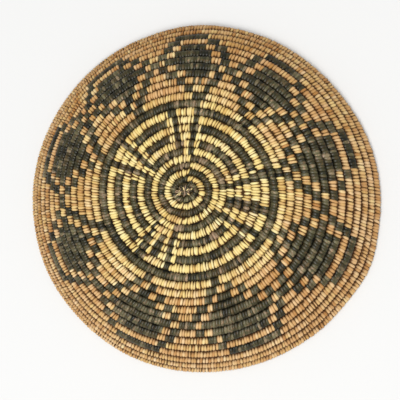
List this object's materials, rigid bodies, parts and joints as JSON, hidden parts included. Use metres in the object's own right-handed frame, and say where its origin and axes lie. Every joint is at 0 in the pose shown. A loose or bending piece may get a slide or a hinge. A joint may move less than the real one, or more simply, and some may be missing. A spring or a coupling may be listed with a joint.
{
  "type": "coiled basketry tray",
  "caption": "Shallow round tray of one stitched grass coil, with a petalled two-colour pattern, lying rim down.",
  "frame": {"origin": "middle of the overall box, on the plane that the rim stands on", "axes": "+Z up from the rim to the flat base, +X to the right of the picture and +Y up in it"},
  "size_m": [0.3647, 0.3527, 0.051],
  "materials": {
    "light_splint": "split light willow or sumac, straw to tan, satin",
    "dark_splint": "split devil's claw pod fibre, charcoal, satin",
    "grass_bundle": "bundle of dry grass stems, matt brown"
  },
  "bodies": {
    "root": {"start_knot": "dark_splint", "base_round_01": "dark_splint", "base_round_02": "light_splint", "base_round_03": "dark_splint", "base_round_04": "light_splint", "base_round_05": "dark_splint", "base_round_06": "light_splint", "base_round_07": "light_splint", "base_round_08": "light_splint", "base_round_09": "light_splint", "base_round_10": "light_splint", "dark_ring_round": "dark_splint", "wall_round_01": "light_splint", "wall_round_02": "light_splint", "wall_round_03": "light_splint", "wall_round_04": "light_splint", "wall_round_05": "light_splint", "wall_round_06": "light_splint", "wall_round_07": "light_splint", "wall_round_08": "light_splint", "wall_round_09": "light_splint", "wall_round_10": "light_splint", "wall_round_11": "light_splint", "wall_round_12": "light_splint", "rim_round": "light_splint", "foundation_coil": "grass_bundle"}
  },
  "joints": []
}
